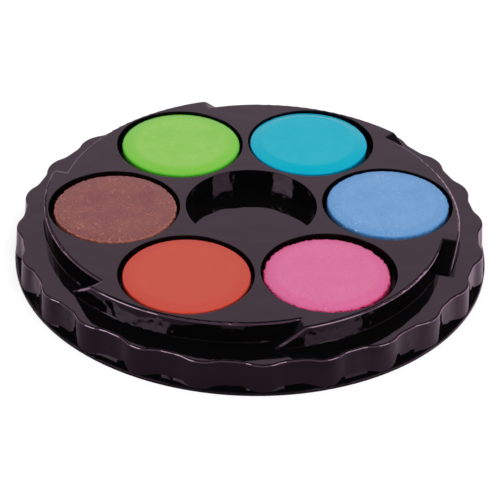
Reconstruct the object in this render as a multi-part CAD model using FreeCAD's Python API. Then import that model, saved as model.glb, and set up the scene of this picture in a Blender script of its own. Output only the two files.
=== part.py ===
"""Round stacking watercolour disc: one moulded tray with seven equal wells, six of them with a paint cake.

Millimetres. The base rests on z = 0, the tray's axis is Z, and the first paint well lies on +X.
"""
import FreeCAD
import Part
import math
import os

V = FreeCAD.Vector

# Paint cakes, named anticlockwise from +X
CAKE_COLOURS = ["sky_blue", "turquoise", "green", "brown", "red", "pink"]
# How each loose cake lies off its well's middle in X and Y, as shares of the clearance
CAKE_SHIFT = [(0.1, 0.1), (-0.48, 0.33), (0.24, 0.05), (0.24, -0.43), (0.1, -0.29), (-0.52, -0.52)]
CAKE_R = 14.8
CAKE_THICKNESS = 5.95
CAKE_CROWN = 0.6  # drop from the flat top to the upright side
CAKE_SLOPE = 3.0  # width of the rounded band around the flat top
CAKE_FOOT = 0.4  # chamfer around the underside

# Wells
WELL_CLEARANCE = 1.05  # gap all around a centred cake
WELL_DEPTH = 5.5
WELL_WEB = 1.35  # plastic between two wells where they come closest
WELL_WALL = 1.2
WELL_FLOOR = 1.2
WELL_LIP = 0.15  # rounding of the mouth

# Neck, whose cam flanks lock into the next disc
NECK_HEIGHT = 5.4
NECK_MARGIN = 1.0  # plastic outside a well where it comes nearest the edge
CAM_CREST = 0.85  # how much further out the crest is than the flank beside a well
CAM_STEP = 3.35  # from the crest in to the root
STEP_ANGLE = -16.7  # from a well's azimuth to its step
STEP_SPAN = 2.2  # degrees that the step takes at the deck
STEP_ROUND = 0.9
RAMP_LEAD = 2.5  # degrees from the top of the ramp to the step
RAMP_SPAN = 7.7  # degrees that the ramp takes
RAMP_FOOT = 0.35  # height of the ramp where it starts
RAMP_CROWN = 2.0  # rounding from the ramp to the deck
RAMP_TAIL = 1.4  # how far the ramp's block reaches in behind the step
DECK_THICKNESS = 1.4
DECK_ROUND = 0.65
NECK_COVE = 0.3  # hollow rounding at the foot of the flanks
COVE_REACH = 2.5  # degrees that it reaches along the ramps at its ends

# Skirt and flange
WALL = 1.4
SHOULDER_WIDTH = 4.55  # from the crests to the hollows of the rim
LOBES = 24
LOBE_HEIGHT = 1.35
LOBE_ROUND = 7.0
LOBE_FOOT = 7.0  # hollow rounding on each side of a lobe
RIM_ROUND = 0.45
SKIRT_LEAN = 0.5  # how much further out the skirt's foot is
FLANGE_LIP = 0.12
FLANGE_HEIGHT = 0.85
FLANGE_ROUND = 0.25

# Stacking socket under the tray
STACK_CLEARANCE = 1.4  # between the well floors and the deck of a disc below
RIB_ANGLE = 22.5  # from a well's azimuth to its cam rib
RIB_WIDTH = 2.4
RIB_CLEARANCE = 0.1  # to the flank of a disc below, when locked
RIB_LIFT = 0.8  # foot of a rib above the base

# Sizes that follow
WELLS = len(CAKE_COLOURS)
WELL_TURN = 360.0 / WELLS
WELL_R = CAKE_R + WELL_CLEARANCE
WELL_PITCH = 2 * WELL_R + WELL_WEB
FLOOR_UNDERSIDE = NECK_HEIGHT + STACK_CLEARANCE
WELL_BOTTOM = FLOOR_UNDERSIDE + WELL_FLOOR
HEIGHT = WELL_BOTTOM + WELL_DEPTH
SHOULDER = HEIGHT - NECK_HEIGHT
FLANK_R = WELL_PITCH + WELL_R + NECK_MARGIN
CREST_R = FLANK_R + CAM_CREST
ROOT_R = CREST_R - CAM_STEP
LOBE_R = CREST_R + SHOULDER_WIDTH + LOBE_HEIGHT
FLANGE_R = LOBE_R + SKIRT_LEAN + FLANGE_LIP


def polar(radius, degrees, z=0.0):
    angle = math.radians(degrees)
    return V(radius * math.cos(angle), radius * math.sin(angle), z)


def cylinder(radius, z0, z1, centre=V(0, 0, 0)):
    return Part.makeCylinder(radius, z1 - z0, V(centre.x, centre.y, z0))


def prism(wire, height):
    return Part.Face(wire).extrude(V(0, 0, height))


def edges_at(shape, z):
    return [e for e in shape.Edges if abs(e.BoundBox.ZMin - z) < 1e-4 and abs(e.BoundBox.ZMax - z) < 1e-4]


def scallop_wire(lobe_r, z):
    """Closed outline: a circle through the hollows with a rounded lobe every few degrees."""
    hollow_r = lobe_r - LOBE_HEIGHT
    lobe_c = lobe_r - LOBE_ROUND
    foot_c = hollow_r + LOBE_FOOT
    reach = LOBE_ROUND + LOBE_FOOT
    foot_turn = math.degrees(math.acos((lobe_c ** 2 + foot_c ** 2 - reach ** 2) / (2 * lobe_c * foot_c)))
    turn = 360.0 / LOBES
    edges = []
    for lobe in range(LOBES):
        middle = turn * lobe
        centre = polar(lobe_c, middle, z)
        sides = []
        for side in (-1, 1):
            foot = polar(foot_c, middle + side * foot_turn, z)
            low = polar(hollow_r, middle + side * foot_turn, z)
            high = centre + (foot - centre) * (LOBE_ROUND / reach)
            towards = (low + high) * 0.5 - foot
            between = foot + towards * (LOBE_FOOT / towards.Length)
            sides.append((low, between, high))
        (low0, between0, high0), (low1, between1, high1) = sides
        next_low = polar(hollow_r, middle + turn - foot_turn, z)
        edges.append(Part.Arc(low0, between0, high0).toShape())
        edges.append(Part.Arc(high0, polar(lobe_r, middle, z), high1).toShape())
        edges.append(Part.Arc(high1, between1, low1).toShape())
        edges.append(Part.Arc(low1, polar(hollow_r, middle + turn / 2, z), next_low).toShape())
    return Part.Wire(edges)


def skirt(inset, z0, z1):
    """Leaning scalloped block between two heights, set in from the skirt's outside."""
    lobe_r = [LOBE_R - inset + SKIRT_LEAN * (SHOULDER - z) / SHOULDER for z in (z0, z1)]
    return Part.makeLoft([scallop_wire(lobe_r[0], z0), scallop_wire(lobe_r[1], z1)], True, True)


def flank(well, inset, z):
    """Arc that falls from the crest past a well to the root."""
    start = WELL_TURN * well + STEP_ANGLE
    crest = polar(CREST_R - inset, start, z)
    beside_well = polar(FLANK_R - inset, WELL_TURN * well, z)
    root = polar(ROOT_R - inset, start + WELL_TURN - STEP_SPAN, z)
    return Part.Arc(crest, beside_well, root).toShape()


def neck_wire(inset, z):
    """The flanks, joined by steps from each root out to the next crest."""
    arcs = [flank(well, inset, z) for well in range(WELLS)]
    edges = []
    for arc, following in zip(arcs, arcs[1:] + arcs[:1]):
        edges.append(arc)
        edges.append(Part.makeLine(arc.lastVertex().Point, following.firstVertex().Point))
    return Part.Wire(edges)


def ramp(well):
    """Wedge that climbs anticlockwise from the shoulder and rounds into the deck, flush with the flank."""
    foot = -CREST_R * math.radians(RAMP_SPAN)
    end = CREST_R * math.radians(RAMP_LEAD) + RAMP_TAIL
    low = SHOULDER + RAMP_FOOT
    incline = math.atan2(HEIGHT - low, -foot)
    reach = RAMP_CROWN * math.tan(incline / 2)
    middle = (reach - RAMP_CROWN * math.sin(incline / 2), HEIGHT - RAMP_CROWN * (1 - math.cos(incline / 2)))
    crown_low = (-reach * math.cos(incline), HEIGHT - reach * math.sin(incline))
    crown_top = (reach, HEIGHT)
    side = [crown_top, (end, HEIGHT), (end, SHOULDER), (foot, SHOULDER), (foot, low), crown_low, middle]
    points = [V(ROOT_R - WALL, y, z) for y, z in side]
    edges = [Part.makeLine(a, b) for a, b in zip(points[:-2], points[1:-1])]
    edges.append(Part.Arc(points[-2], points[-1], points[0]).toShape())
    wedge = Part.Face(Part.Wire(edges)).extrude(V(WALL + 2 * CAM_STEP, 0, 0))
    wedge.rotate(V(0, 0, 0), V(0, 0, 1), WELL_TURN * well + STEP_ANGLE - RAMP_LEAD)

    # Round outer face, and its top edges rounded like the deck's
    circle = flank(well, 0, SHOULDER).Curve
    wedge = wedge.common(cylinder(circle.Radius, SHOULDER, HEIGHT, circle.Center))
    above = [e for e in wedge.Edges if e.BoundBox.ZMin > SHOULDER + RAMP_FOOT / 2]
    ridge = [e for e in above if min(axis_distance(v, circle) for v in e.Vertexes) > circle.Radius - 1e-3]
    return wedge.makeFillet(DECK_ROUND, ridge)


def axis_distance(vertex, circle):
    return circle.Center.distanceToPoint(V(vertex.X, vertex.Y, circle.Center.z))


def cove(well):
    """Hollow rounding between a flank and the shoulder, sunk a little into both."""
    circle = flank(well, 0, SHOULDER).Curve
    face_r = circle.Radius
    inner = face_r - WALL / 3
    under = SHOULDER - WALL / 3
    near = NECK_COVE * (1 - math.sqrt(0.5))
    low = V(face_r + NECK_COVE, 0, SHOULDER)
    high = V(face_r, 0, SHOULDER + NECK_COVE)
    behind = [V(inner, 0, high.z), V(inner, 0, under), V(low.x, 0, under)]
    edges = [Part.Arc(low, V(face_r + near, 0, SHOULDER + near), high).toShape()]
    edges += [Part.makeLine(a, b) for a, b in zip([high] + behind, behind + [low])]

    # Turned about the flank's own middle
    start = STEP_ANGLE - RAMP_LEAD - RAMP_SPAN + COVE_REACH
    turns = (start, start + WELL_TURN)
    arms = [polar(flank_radius(t), WELL_TURN * well + t, SHOULDER) - circle.Center for t in turns]
    first, last = [math.degrees(math.atan2(arm.y, arm.x)) for arm in arms]
    ring = Part.Face(Part.Wire(edges)).revolve(V(0, 0, 0), V(0, 0, 1), (last - first) % 360)
    ring.rotate(V(0, 0, 0), V(0, 0, 1), first)
    ring.translate(V(circle.Center.x, circle.Center.y, 0))
    return ring


def flank_radius(turn):
    """Distance from the tray's axis to the flank, so many degrees on from its well."""
    circle = flank(0, 0, 0).Curve
    along = polar(1, turn).dot(circle.Center)
    return along + math.sqrt(along ** 2 - circle.Center.Length ** 2 + circle.Radius ** 2)


def rib(well):
    """Blade under the shoulder that rides on a flank of the disc below."""
    inner = flank_radius(RIB_ANGLE) + RIB_CLEARANCE
    outer = LOBE_R - LOBE_HEIGHT - WALL / 2
    top = SHOULDER - WALL / 2
    blade = Part.makeBox(outer - inner, RIB_WIDTH, top - RIB_LIFT, V(inner, -RIB_WIDTH / 2, RIB_LIFT))
    blade.rotate(V(0, 0, 0), V(0, 0, 1), WELL_TURN * well + RIB_ANGLE)
    return blade


def tray():
    outside = skirt(0, 0, SHOULDER)
    outside = outside.makeFillet(RIM_ROUND, edges_at(outside, SHOULDER))
    flange = cylinder(FLANGE_R, 0, FLANGE_HEIGHT)
    flange = flange.makeFillet(FLANGE_ROUND, edges_at(flange, FLANGE_HEIGHT))
    neck = prism(neck_wire(0, SHOULDER), NECK_HEIGHT)
    neck = neck.makeFillet(STEP_ROUND, [e for e in neck.Edges if e.BoundBox.ZLength > NECK_HEIGHT / 2])
    neck = neck.makeFillet(DECK_ROUND, edges_at(neck, HEIGHT))
    neck = neck.multiFuse([ramp(well) for well in range(WELLS)])
    body = outside.multiFuse([flange, neck] + [cove(well) for well in range(WELLS)])

    # Hollows under the shoulder and under the deck
    body = body.cut(skirt(WALL, 0, SHOULDER - WALL))
    body = body.cut(prism(neck_wire(WALL, SHOULDER - WALL), WALL + NECK_HEIGHT - DECK_THICKNESS))

    # Cups around the wells, kept inside the neck, and the ribs
    spots = [V(0, 0, 0)] + [polar(WELL_PITCH, WELL_TURN * well) for well in range(WELLS)]
    cup_top = HEIGHT - DECK_THICKNESS / 2
    cups = [cylinder(WELL_R + WELL_WALL, FLOOR_UNDERSIDE, cup_top, spot) for spot in spots]
    cups = cups[0].multiFuse(cups[1:]).common(prism(neck_wire(0, FLOOR_UNDERSIDE), HEIGHT))
    body = body.multiFuse([cups] + [rib(well) for well in range(WELLS)])

    # The wells, with rounded mouths
    wells = [cylinder(WELL_R, WELL_BOTTOM, HEIGHT + 1, spot) for spot in spots]
    body = body.cut(Part.makeCompound(wells)).removeSplitter()
    mouths = [e for e in edges_at(body, HEIGHT) if e.isClosed()]
    return body.makeFillet(WELL_LIP, mouths)


def cake():
    """Pressed tablet: flat top, rounded down all around to an upright side, with a chamfered underside."""
    round_r = (CAKE_SLOPE ** 2 + CAKE_CROWN ** 2) / (2 * CAKE_CROWN)
    flat_r = CAKE_R - CAKE_SLOPE
    drop = round_r - math.sqrt(round_r ** 2 - (CAKE_SLOPE / 2) ** 2)
    flat_end = V(flat_r, 0, CAKE_THICKNESS)
    halfway = V(flat_r + CAKE_SLOPE / 2, 0, CAKE_THICKNESS - drop)
    side_top = V(CAKE_R, 0, CAKE_THICKNESS - CAKE_CROWN)
    side = [side_top, V(CAKE_R, 0, CAKE_FOOT), V(CAKE_R - CAKE_FOOT, 0, 0)]
    side += [V(0, 0, 0), V(0, 0, CAKE_THICKNESS)]
    edges = [Part.Arc(flat_end, halfway, side_top).toShape()]
    for start, end in zip(side, side[1:] + [flat_end]):
        edges.append(Part.makeLine(start, end))
    return Part.Face(Part.Wire(edges)).revolve(V(0, 0, 0), V(0, 0, 1), 360)


os.makedirs("parts", exist_ok=True)
tray().exportStep("parts/palette_tray.step")
for well, (colour, shift) in enumerate(zip(CAKE_COLOURS, CAKE_SHIFT)):
    tablet = cake()
    tablet.translate(polar(WELL_PITCH, WELL_TURN * well, WELL_BOTTOM) + V(*shift) * WELL_CLEARANCE)
    tablet.exportStep("parts/paint_cake_" + colour + ".step")
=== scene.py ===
"""Looks of a stacking watercolour disc: a glossy black moulded tray with six pressed paint cakes. Metres."""

import math

import bpy
from mathutils import Matrix, Vector, noise


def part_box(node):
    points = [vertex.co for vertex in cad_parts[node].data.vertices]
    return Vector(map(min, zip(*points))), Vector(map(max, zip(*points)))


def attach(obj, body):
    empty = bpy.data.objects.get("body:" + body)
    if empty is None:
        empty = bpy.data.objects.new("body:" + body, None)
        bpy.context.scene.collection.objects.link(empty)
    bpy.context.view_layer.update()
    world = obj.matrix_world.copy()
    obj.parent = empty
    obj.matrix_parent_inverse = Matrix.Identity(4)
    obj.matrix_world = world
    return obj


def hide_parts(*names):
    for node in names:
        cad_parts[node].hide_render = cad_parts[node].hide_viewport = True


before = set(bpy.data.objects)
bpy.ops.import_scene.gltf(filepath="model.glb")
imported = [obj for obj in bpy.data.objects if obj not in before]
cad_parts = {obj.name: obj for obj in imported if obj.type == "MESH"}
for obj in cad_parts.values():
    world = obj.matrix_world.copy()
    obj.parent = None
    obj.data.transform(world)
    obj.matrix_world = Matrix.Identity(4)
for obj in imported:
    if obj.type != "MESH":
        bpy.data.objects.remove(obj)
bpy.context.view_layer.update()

MM = 0.001
WHITE = (1.0, 1.0, 1.0, 1.0)
BLACK = (0.0, 0.0, 0.0, 1.0)
REFRACTION = 1.5  # of the tray's plastic and the paint's gum

# The photograph's camera: where it stands, what it looks at, its lens and sensor in millimetres, its roll in
# degrees, and the nearest and farthest that it sees
CAMERA_AT = Vector((-28.302, -431.735, 295.839)) * MM
CAMERA_TARGET = Vector((-1.317, -19.22, 13.5)) * MM
CAMERA_LENS = 153.97
CAMERA_SENSOR = 36.0
CAMERA_ROLL = 1.414
CAMERA_RANGE = (0.01, 20.0)

# Light on matt surfaces: an even fill and a soft key, whose place is in degrees from the front and up
ROOM_FILL = 0.73
KEY_TURN = 25.0
KEY_RISE = 62.0
KEY_AWAY = 0.8
KEY_SIZE = (0.5, 0.5)
KEY_POWER = 2.0

# What gloss mirrors: a card behind, dim cards around under a dark ceiling, and two softboxes. These are
# dimmed at first hand and whole in a second reflection, such as a wall's in the shoulder. Angles are in
# degrees, from the front and up
CARD_LIGHT = 0.86
CARD_TINT = (1.0, 0.83, 0.945, 1.0)
CARD_HALF = (138.0, 158.0)  # where the card behind starts, and where it is whole
CARD_TOP = (53.0, 64.0)  # heights between which the cards fade
RING_SHARE = 0.15  # share of the card's light from the cards around, at first hand
ROOM_DIM = 0.10  # share of it in the rest of the room
SOFTBOXES = (  # middle, half width, foot, top and light
    (-59.0, 18.5, 5.0, 35.0, 9.9),
    (50.0, 18.5, 5.0, 35.0, 6.6),
)
SOFTBOX_FADE = 1.5  # half the width over which their edges fade
FIRST_HAND = 0.13  # share of their light that is mirrored at first hand

# Floor: its grey, the glow that turns it white to the camera, and the tinted painted light and shade that the
# tray's gloss sees on it. There it has a painted shade in front, up to a slanting line, and behind that it
# goes from a dimmer left to a brighter right
FLOOR_HALF = 3.0
FLOOR_GREY = (0.45, 0.45, 0.45, 1.0)
FLOOR_GLOW = 0.65
FLOOR_PAINTED_SHADE = (0.32, 0.25, 0.30, 1.0)
FLOOR_PAINTED_LEFT = (0.74, 0.58, 0.69, 1.0)
FLOOR_PAINTED_RIGHT = (1.0, 0.78, 0.93, 1.0)
FLOOR_SIDES = (-0.07, 0.07)  # X between which left turns into right
FLOOR_LINE = (-0.065, -0.02)  # Y between which the painted shade in front ends, where X is 0
FLOOR_SLANT = 0.3  # how much nearer to the front it ends for each step to the right

# Tray plastic. A pattern is given by how wide its patches are in millimetres, and how fine its detail is
TRAY_COLOUR = (0.0024, 0.0022, 0.0024, 1.0)
TRAY_GLOSS = 0.5
TRAY_GLOSS_TINT = (1.0, 0.72, 0.93, 1.0)
TRAY_ROUGH = (0.04, 0.08)  # where it is clear, and where it is hazy
HAZE = (9.0, 4)
HAZE_SHOWS = (0.45, 0.75)  # values of the pattern between which it sets in
LONG_WAVES = (9.0, 1)
SHORT_WAVES = (3.2, 0)
SHORT_WAVES_SHARE = 0.22
RIPPLES = (3.0, 1)
RIPPLES_SHARE = 0.9  # on upright walls
RIPPLES_FADE = (0.05, 0.98)  # upward share of the normal between which they fade
WAVE_DEPTH = 0.16
WALL_DRAFT = 2.2  # degrees that upright walls lean back for the mould
EDGE_POLISH = 4.5  # extra gloss of the rounded outer edges
EDGE_OUT = (0.5, 0.7)  # outward share of the normal between which it sets in
EDGE_UP = (0.12, 0.3)  # upward share of the normal between which it sets in
EDGE_REACH = (59.6, 60.6)  # radius plus height between which it sets in, past the foot of the neck

# Paint cakes as pressed, in millimetres
CAKE_SLOPE = 3.0  # width of the sloping band around the flat top
CAKE_EDGE = 0.3  # rounding between the band and the upright side
CAKE_FOOT = 0.4
CRUMB_REACH = 1.2  # how far in from the rim it is crumbled

# Points of a cake's mesh: around, and along each stretch of its profile
CAKE_COLUMNS = 420
TOP_STEPS = 26
BAND_STEPS = 16
EDGE_STEPS = 6
SIDE_STEPS = 6
UNDER_STEPS = 6

# Noise that crumbles and roughens the mesh: waves per millimetre, then how fast its octaves weaken, how much
# finer each is, and how many there are
CRUMBS = (1.1, 0.6, 2.1, 4)
RELIEF = (1.6, 0.8, 2.0, 3)
SEED_STEP = (31.7, -17.3, 7.1)  # how far apart the cakes' noises are taken

# Patterns in the paint, by width and detail as in the plastic. Those with four numbers make spots, and the
# last two are the values between which these show
CLOUDS = (6.0, 4)
MOTTLE = (1.6, 2)
MOTTLE_SHARE = 0.35
CLOUDS_SHOW = (0.45, 0.9)
POWDER = (0.4, 3)
POWDER_DARK = (0.25, 0.5)
POWDER_PALE = (0.5, 0.75)
POWDER_ROUGH = (0.3, 0.7)
ROUGH_SPREAD = (-0.04, 0.06)  # how far powder changes the roughness
FLECKS = (0.7, 2, 0.60, 0.68)
FLECK_PATCHES = (4.0, 3, 0.42, 0.60)
FLECK_RIM = (-3.0, 2.0)  # millimetres past the flat top between which flecks come to their full number
FLECK_TOP_SHARE = 0.25
SCRATCHES = (0.5, 1, 0.68, 0.78)
SCRATCH_PATCHES = (5.0, 3, 0.45, 0.60)
SCRATCH_TURNS = (20, 75, 140)  # degrees
SCRATCH_STRETCH = 3.5
WANDER = (3.0, 2)
WANDER_WIDTH = 2.4  # millimetres over which the change from top to band wanders
EDGE_TONE = (0.7, 0.2)  # millimetres in from the rim between which the edge's colour sets in
PAINTED_SIDE_SHADE = (1.8, 1.1)  # millimetres below the top between which the painted shade low on the side fades out upwards
PAINTED_SIDE_SHADE_SHARE = 0.5  # how dark the painted shade low on the side is, as a share of the edge's colour

# Each cake's pigment. First its display colours: flat top, sloping band, edge and flecks. Then how strong
# its clouds, powder grain, flecks and scratches are, and its gloss and roughness. Last, in millimetres, how
# far its edge is crumbled, how deep its relief is, how far its band drops and how wide the change of tone
# from top to band is, and the power by which the band bends, where 1 is a plain bevel
LOOKS = {
    "sky_blue": dict(
        body=(108, 157, 209), band=(107, 156, 208), edge=(84, 144, 206), fleck=(182, 210, 242),
        clouds=0.10, powder=0.13, flecks=0.65, scratches=0.0, gloss=0.15, rough=0.45,
        crumbled=0.18, relief=0.035, crown=0.45, soft=2.0, bend=1.7,
    ),
    "turquoise": dict(
        body=(0, 176, 199), band=(0, 175, 199), edge=(0, 172, 212), fleck=(110, 208, 224),
        clouds=0.06, powder=0.03, flecks=0.0, scratches=0.0, gloss=0.15, rough=0.18,
        crumbled=0.05, relief=0.010, crown=0.8, soft=0.4, bend=1.15,
    ),
    "green": dict(
        body=(137, 199, 80), band=(126, 198, 70), edge=(84, 190, 44), fleck=(190, 222, 140),
        clouds=0.16, powder=0.03, flecks=0.0, scratches=0.0, gloss=0.20, rough=0.22,
        crumbled=0.06, relief=0.012, crown=0.65, soft=2.8, bend=1.4,
    ),
    "brown": dict(
        body=(132, 77, 80), band=(137, 83, 83), edge=(170, 100, 88), fleck=(222, 146, 114),
        clouds=0.10, powder=0.20, flecks=0.75, scratches=0.50, gloss=0.15, rough=0.45,
        crumbled=0.28, relief=0.040, crown=0.6, soft=4.0, bend=1.7,
    ),
    "red": dict(
        body=(201, 83, 69), band=(201, 81, 68), edge=(214, 74, 58), fleck=(222, 118, 100),
        clouds=0.05, powder=0.03, flecks=0.0, scratches=0.0, gloss=0.12, rough=0.50,
        crumbled=0.05, relief=0.008, crown=0.6, soft=2.0, bend=1.9,
    ),
    "pink": dict(
        body=(217, 112, 156), band=(218, 106, 154), edge=(228, 66, 124), fleck=(240, 172, 200),
        clouds=0.07, powder=0.12, flecks=0.25, scratches=0.0, gloss=0.12, rough=0.50,
        crumbled=0.40, relief=0.030, crown=0.75, soft=2.0, bend=1.8,
    ),
}


def linear(rgb):
    """Shader colour from display values of 0 to 255."""
    shares = [v / 255 for v in rgb]
    return tuple(s / 12.92 if s <= 0.04045 else ((s + 0.055) / 1.055) ** 2.4 for s in shares) + (1.0,)


def clamp(value):
    """The value, kept between 0 and 1."""
    return max(0.0, min(1.0, value))


def radians(degrees):
    """Several angles at once."""
    return [math.radians(v) for v in degrees]


class Nodes:
    """A shader's node tree, with short ways to add to it."""

    def __init__(self, tree):
        self.tree = tree

    def put(self, socket, value):
        """Sets a socket, or joins it to another node's output."""
        if isinstance(value, bpy.types.NodeSocket):
            self.tree.links.new(value, socket)
        else:
            socket.default_value = value

    def add(self, kind, output, inputs, **settings):
        """Adds a node and gives one of its outputs."""
        node = self.tree.nodes.new("ShaderNode" + kind)
        for name, value in settings.items():
            setattr(node, name, value)
        for name, value in inputs.items():
            self.put(node.inputs[name], value)
        return node.outputs[output]

    def ramp(self, value, low, high, start=0.0, end=1.0):
        """Soft step from start to end while the value goes from low to high."""
        inputs = {"Value": value, "From Min": low, "From Max": high, "To Min": start, "To Max": end}
        return self.add("MapRange", "Result", inputs, interpolation_type="SMOOTHSTEP")

    def calc(self, operation, a, b=0.0):
        """Number from one or two numbers."""
        return self.add("Math", 0, {0: a, 1: b}, operation=operation)

    def product(self, first, *others):
        """Product of numbers."""
        for other in others:
            first = self.calc("MULTIPLY", first, other)
        return first

    def vector(self, operation, a, b=(0.0, 0.0, 0.0)):
        """Vector from one or two vectors, or a number where the operation gives one."""
        output = "Value" if operation in ("DOT_PRODUCT", "LENGTH") else "Vector"
        return self.add("VectorMath", output, {0: a, 1: b}, operation=operation)

    def split(self, vector):
        """A vector's X, Y and Z."""
        node = self.tree.nodes.new("ShaderNodeSeparateXYZ")
        self.put(node.inputs[0], vector)
        return node.outputs

    def rays(self):
        """What tells the kinds of rays apart."""
        return self.tree.nodes.new("ShaderNodeLightPath").outputs

    def blend(self, share, first, second):
        """Blend of two shaders."""
        return self.add("MixShader", 0, {0: share, 1: first, 2: second})

    def background(self, colour, strength):
        """Light of the room."""
        return self.add("Background", 0, {"Color": colour, "Strength": strength})


class Finish(Nodes):
    """A procedural material around the standard surface shader, with patterns in the object's own place."""

    def __init__(self, name):
        self.material = bpy.data.materials.new(name)
        self.material.use_nodes = True
        super().__init__(self.material.node_tree)
        self.shader = self.tree.nodes["Principled BSDF"]
        self.place = self.add("TexCoord", "Object", {})

    def set(self, **values):
        """Sets the surface shader's sockets, whose names have spaces for underscores."""
        for name, value in values.items():
            self.put(self.shader.inputs[name.replace("_", " ")], value)

    def from_axis(self):
        """Place in the level plane, and its distance from the object's upright axis."""
        level = self.vector("MULTIPLY", self.place, (1, 1, 0))
        return level, self.vector("LENGTH", level)

    def noise(self, size, detail, place=None):
        """Cloudy value of 0 to 1 whose patches are about so many millimetres wide."""
        inputs = {"Vector": place or self.place, "Scale": 1 / (size * MM), "Detail": detail}
        return self.add("TexNoise", "Fac", inputs)

    def spots(self, size, detail, low, high, strength=1.0, place=None):
        """Spots where such a cloudy value is high."""
        return self.ramp(self.noise(size, detail, place), low, high, 0, strength)

    def stretched(self, turn, times):
        """Place for a pattern drawn out along a level direction."""
        inputs = {"Vector": self.place, "Rotation": (0, 0, math.radians(turn)), "Scale": (1 / times, 1, 1)}
        return self.add("Mapping", "Vector", inputs)

    def mix(self, share, first, second):
        """Blend of two colours."""
        node = self.tree.nodes.new("ShaderNodeMix")
        node.data_type = "RGBA"
        self.put(node.inputs["Factor"], share)
        colours = [socket for socket in node.inputs if socket.type == "RGBA"]
        self.put(colours[0], first)
        self.put(colours[1], second)
        return [socket for socket in node.outputs if socket.type == "RGBA"][0]

    def bump(self, height, depth, **others):
        """Normal for a relief so many millimetres deep."""
        return self.add("Bump", "Normal", {"Height": height, "Distance": depth * MM, **others})


def tray_plastic():
    """Glossy near-black polystyrene: drafted walls, waves from moulding, a little haze and polished edges."""
    finish = Finish("tray_plastic")
    facing = finish.add("NewGeometry", "Normal", {})
    up = finish.split(facing)["Z"]
    drafted = finish.vector("ADD", facing, (0, 0, math.tan(math.radians(WALL_DRAFT))))

    on_walls = finish.ramp(finish.calc("ABSOLUTE", up), *RIPPLES_FADE, RIPPLES_SHARE, 0)
    ripples = finish.product(finish.calc("SUBTRACT", finish.noise(*RIPPLES), 0.5), on_walls)
    short_waves = finish.product(finish.noise(*SHORT_WAVES), SHORT_WAVES_SHARE)
    waves = finish.calc("ADD", finish.noise(*LONG_WAVES), short_waves)
    waves = finish.calc("ADD", waves, ripples)

    level, radius = finish.from_axis()
    facing_out = finish.vector("DOT_PRODUCT", facing, finish.vector("NORMALIZE", level))
    reach = finish.calc("ADD", radius, finish.split(finish.place)["Z"])
    past_neck = finish.ramp(reach, *[v * MM for v in EDGE_REACH])
    on_edges = finish.product(finish.ramp(facing_out, *EDGE_OUT), finish.ramp(up, *EDGE_UP), past_neck)

    finish.set(
        Base_Color=TRAY_COLOUR,
        Roughness=finish.ramp(finish.noise(*HAZE), *HAZE_SHOWS, *TRAY_ROUGH),
        IOR=REFRACTION,
        Specular_IOR_Level=finish.calc("ADD", finish.product(on_edges, EDGE_POLISH), TRAY_GLOSS),
        Specular_Tint=TRAY_GLOSS_TINT,
        Normal=finish.bump(waves, WAVE_DEPTH, Normal=drafted),
    )
    return finish.material


def paint(colour, cake_r, height):
    """Pressed dry pigment: cloudy and powdery, paler where it is flecked or scratched, with a faint gloss and
    painted shade low on its side.
    """
    look = LOOKS[colour]
    finish = Finish("paint_" + colour)
    body, band, edge, pale = [linear(look[name]) for name in ("body", "band", "edge", "fleck")]
    radius = finish.from_axis()[1]
    wander = finish.product(finish.calc("SUBTRACT", finish.noise(*WANDER), 0.5), WANDER_WIDTH * MM)
    ragged = finish.calc("ADD", radius, wander)
    powder = finish.noise(*POWDER)
    flat_r = cake_r - CAKE_SLOPE

    clouds = finish.calc("ADD", finish.noise(*CLOUDS), finish.product(finish.noise(*MOTTLE), MOTTLE_SHARE))
    shade = finish.mix(finish.ramp(clouds, *CLOUDS_SHOW, 0, look["clouds"]), body, pale)
    half = look["soft"] / 2
    shade = finish.mix(finish.ramp(ragged, (flat_r - half) * MM, (flat_r + half) * MM), shade, band)
    shade = finish.mix(finish.ramp(powder, *POWDER_PALE, 0, look["powder"]), shade, pale)
    shade = finish.mix(finish.ramp(powder, *POWDER_DARK, look["powder"], 0), shade, BLACK)
    shade = finish.mix(finish.ramp(radius, *[(cake_r - v) * MM for v in EDGE_TONE]), shade, edge)
    if look["flecks"]:
        to_rim = finish.ramp(ragged, *[(flat_r + v) * MM for v in FLECK_RIM], FLECK_TOP_SHARE, 1)
        flecks = finish.spots(*FLECKS, look["flecks"])
        shade = finish.mix(finish.product(to_rim, finish.spots(*FLECK_PATCHES), flecks), shade, pale)
    if look["scratches"]:
        patches = finish.spots(*SCRATCH_PATCHES)
        for turn in SCRATCH_TURNS:
            marks = finish.spots(*SCRATCHES, look["scratches"], finish.stretched(turn, SCRATCH_STRETCH))
            shade = finish.mix(finish.product(marks, patches), shade, pale)
    # Painted shade: low on the side the colour darkens to half the edge's colour, standing in for the shade
    # in the narrow gap of the well
    painted_side_shade_colour = tuple(PAINTED_SIDE_SHADE_SHARE * share for share in edge[:3]) + (1.0,)
    low = finish.ramp(finish.split(finish.place)["Z"], *[(height - v) * MM for v in PAINTED_SIDE_SHADE], 1, 0)

    finish.set(
        Base_Color=finish.mix(low, shade, painted_side_shade_colour),
        Roughness=finish.ramp(powder, *POWDER_ROUGH, *[look["rough"] + v for v in ROUGH_SPREAD]),
        IOR=REFRACTION,
        Specular_IOR_Level=look["gloss"],
        Normal=finish.bump(powder, look["relief"]),
    )
    return finish.material


def ring_mesh(name, rings):
    """Closed skin over rings of equally many points, with a single point at each end."""
    columns = len(rings[1])
    points = [point for ring in rings for point in ring]
    last = 1 + (len(rings) - 3) * columns
    faces = []
    for column in range(columns):
        after = (column + 1) % columns
        faces.append((0, 1 + column, 1 + after))
        faces.append((last + columns, last + after, last + column))
        for upper in range(1, last, columns):
            lower = upper + columns
            faces.append((upper + column, lower + column, lower + after, upper + after))
    mesh = bpy.data.meshes.new(name)
    mesh.from_pydata(points, [], faces)
    mesh.polygons.foreach_set("use_smooth", [True] * len(faces))
    mesh.update()
    return mesh


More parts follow.
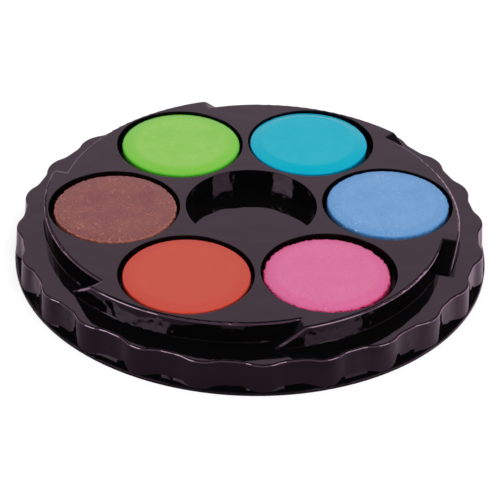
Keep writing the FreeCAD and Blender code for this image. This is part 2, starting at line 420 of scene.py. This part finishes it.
def cake_profile(cake_r, height, crown, bend):
    """Points from the middle of the top, over the sloping band and down the side, to the middle below."""
    flat_r = cake_r - CAKE_SLOPE
    points = [(flat_r * step / TOP_STEPS, height) for step in range(TOP_STEPS + 1)]
    for step in range(1, BAND_STEPS + 1):
        share = step / BAND_STEPS
        points.append((flat_r + (CAKE_SLOPE - CAKE_EDGE) * share, height - crown * share ** bend))
    edge_z = points[-1][1]
    for step in range(1, EDGE_STEPS + 1):
        turn = math.radians(90 * step / EDGE_STEPS)
        inward = CAKE_EDGE * (1 - math.sin(turn))
        down = CAKE_EDGE * (1 - math.cos(turn))
        points.append((cake_r - inward, edge_z - down))
    side_z = points[-1][1]
    for step in range(1, SIDE_STEPS + 1):
        points.append((cake_r, side_z + (CAKE_FOOT - side_z) * step / SIDE_STEPS))
    for step in range(UNDER_STEPS + 1):
        points.append(((cake_r - CAKE_FOOT) * (1 - step / UNDER_STEPS), 0.0))
    return points


def cake(colour, seed):
    """A pressed tablet with its own grain and crumbled edge, in the place of the plain one."""
    look = LOOKS[colour]
    node = "paint_cake_" + colour
    low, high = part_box(node)
    centre = Vector(((low.x + high.x) / 2, (low.y + high.y) / 2, low.z))
    cake_r = (high.x - low.x) / 2 / MM
    height = (high.z - low.z) / MM
    away = Vector([step * seed for step in SEED_STEP])
    rings = []
    for radius, z in cake_profile(cake_r, height, look["crown"], look["bend"]):
        near_rim = clamp((radius - cake_r + CRUMB_REACH) / CRUMB_REACH)
        depth = look["relief"] if z > height / 2 else 0.0
        ring = []
        for column in range(CAKE_COLUMNS if 0 < radius else 1):
            turn = math.tau * column / CAKE_COLUMNS
            out = Vector((math.cos(turn), math.sin(turn), 0))
            spot = out * radius + Vector((0, 0, z)) + away
            crumbs = clamp(noise.fractal(spot * CRUMBS[0], *CRUMBS[1:]) + 0.5)
            worn = crumbs * near_rim * look["crumbled"]
            sunk = clamp((noise.fractal(spot * RELIEF[0], *RELIEF[1:]) + 1) / 2) * depth
            point = out * (radius - worn) + Vector((0, 0, z - sunk))
            ring.append(point * MM)
        rings.append(ring)
    tablet = bpy.data.objects.new("cake_" + colour + "_pressed", ring_mesh(node + "_pressed", rings))
    bpy.context.collection.objects.link(tablet)
    tablet.location = centre
    tablet.data.materials.append(paint(colour, cake_r, height))
    bpy.context.view_layer.update()
    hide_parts(node)
    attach(tablet, "cake_" + colour)


def softbox(nodes, turn, rise, middle, half, foot, top, light):
    """Light of a softbox's face in the room, by its directions."""
    off = nodes.calc("ABSOLUTE", nodes.calc("SUBTRACT", turn, math.radians(middle)))
    across = nodes.ramp(off, *radians((half - SOFTBOX_FADE, half + SOFTBOX_FADE)), light, 0)
    above_foot = nodes.ramp(rise, *radians((foot - SOFTBOX_FADE, foot + SOFTBOX_FADE)))
    below_top = nodes.ramp(rise, *radians((top - SOFTBOX_FADE, top + SOFTBOX_FADE)), 1, 0)
    return nodes.product(across, above_foot, below_top)


def studio():
    """White to the camera, an even fill for matt surfaces, and tinted cards and softboxes for the gloss."""
    world = bpy.data.worlds.new("studio")
    bpy.context.scene.world = world
    world.use_nodes = True
    nodes = Nodes(world.node_tree)
    towards = nodes.split(nodes.add("TexCoord", "Generated", {}))
    turn = nodes.calc("ARCTAN2", towards["X"], nodes.product(towards["Y"], -1.0))
    rise = nodes.calc("ARCSINE", towards["Z"])
    from_front = nodes.calc("ABSOLUTE", turn)
    cards = nodes.ramp(rise, *radians(CARD_TOP), CARD_LIGHT, CARD_LIGHT * ROOM_DIM)
    faces = nodes.calc("ADD", *[softbox(nodes, turn, rise, *face) for face in SOFTBOXES])
    mirrored = []
    for around, share in ((RING_SHARE, FIRST_HAND), (ROOM_DIM, 1.0)):
        card = nodes.product(nodes.ramp(from_front, *radians(CARD_HALF), around, 1), cards)
        tinted = nodes.background(CARD_TINT, card)
        bright = nodes.background(WHITE, nodes.product(faces, share))
        mirrored.append(nodes.add("AddShader", 0, {0: tinted, 1: bright}))
    rays = nodes.rays()
    # The depth is 1 for what gloss mirrors at first hand, and more after that
    again = nodes.calc("GREATER_THAN", rays["Glossy Depth"], 1.5)
    fill = nodes.background(WHITE, ROOM_FILL)
    light = nodes.blend(rays["Is Glossy Ray"], fill, nodes.blend(again, *mirrored))
    seen = nodes.blend(rays["Is Camera Ray"], light, nodes.background(WHITE, 1.0))
    nodes.put(nodes.tree.nodes["World Output"].inputs["Surface"], seen)


def key_light():
    """Soft light on matt surfaces, from the front and above."""
    light = bpy.data.lights.new("key", "AREA")
    light.shape = "RECTANGLE"
    light.size, light.size_y = KEY_SIZE
    light.energy = KEY_POWER
    lamp = bpy.data.objects.new("key", light)
    bpy.context.collection.objects.link(lamp)
    # The front is towards -Y
    azimuth, rise = radians((KEY_TURN - 90, KEY_RISE))
    out = Vector((math.cos(azimuth) * math.cos(rise), math.sin(azimuth) * math.cos(rise), math.sin(rise)))
    lamp.location = out * KEY_AWAY
    lamp.rotation_mode = "QUATERNION"
    lamp.rotation_quaternion = out.to_track_quat("Z", "Y")
    lamp.visible_glossy = False


def floor():
    """Pale floor that looks white and keeps a soft shadow, and shows the tray's gloss a tinted floor with
    painted shade in front and painted light to the right.
    """
    mesh = bpy.data.meshes.new("floor")
    corners = [(x * FLOOR_HALF, y * FLOOR_HALF, 0) for x, y in ((-1, -1), (1, -1), (1, 1), (-1, 1))]
    mesh.from_pydata(corners, [], [(0, 1, 2, 3)])
    ground = bpy.data.objects.new("floor", mesh)
    bpy.context.collection.objects.link(ground)
    finish = Finish("floor")
    rays = finish.rays()
    place = finish.split(finish.place)
    # Painted light and shade for the gloss only: a painted shade in front of the tray, and brighter to the
    # right than to the left
    painted_light_behind = finish.mix(finish.ramp(place["X"], *FLOOR_SIDES), FLOOR_PAINTED_LEFT, FLOOR_PAINTED_RIGHT)
    depth = finish.calc("ADD", place["Y"], finish.product(place["X"], FLOOR_SLANT))
    mirrored = finish.mix(finish.ramp(depth, *FLOOR_LINE), FLOOR_PAINTED_SHADE, painted_light_behind)
    finish.set(
        Base_Color=finish.mix(rays["Is Glossy Ray"], FLOOR_GREY, mirrored),
        Roughness=1.0,
        Specular_IOR_Level=0.0,
        Emission_Color=WHITE,
        Emission_Strength=finish.product(rays["Is Camera Ray"], FLOOR_GLOW),
    )
    mesh.materials.append(finish.material)


def camera():
    """The photograph's viewpoint."""
    data = bpy.data.cameras.new("camera")
    data.lens = CAMERA_LENS
    data.sensor_width = CAMERA_SENSOR
    data.clip_start, data.clip_end = CAMERA_RANGE
    eye = bpy.data.objects.new("camera", data)
    bpy.context.collection.objects.link(eye)
    turn = (CAMERA_TARGET - CAMERA_AT).to_track_quat("-Z", "Y").to_matrix().to_4x4()
    roll = Matrix.Rotation(math.radians(CAMERA_ROLL), 4, "Z")
    eye.matrix_world = Matrix.Translation(CAMERA_AT) @ turn @ roll
    bpy.context.scene.camera = eye


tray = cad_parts["palette_tray"]
tray.data.materials.clear()
tray.data.materials.append(tray_plastic())
for seed, colour in enumerate(LOOKS, start=1):
    cake(colour, seed)
studio()
key_light()
floor()
camera()
bpy.context.scene.view_settings.view_transform = "Standard"
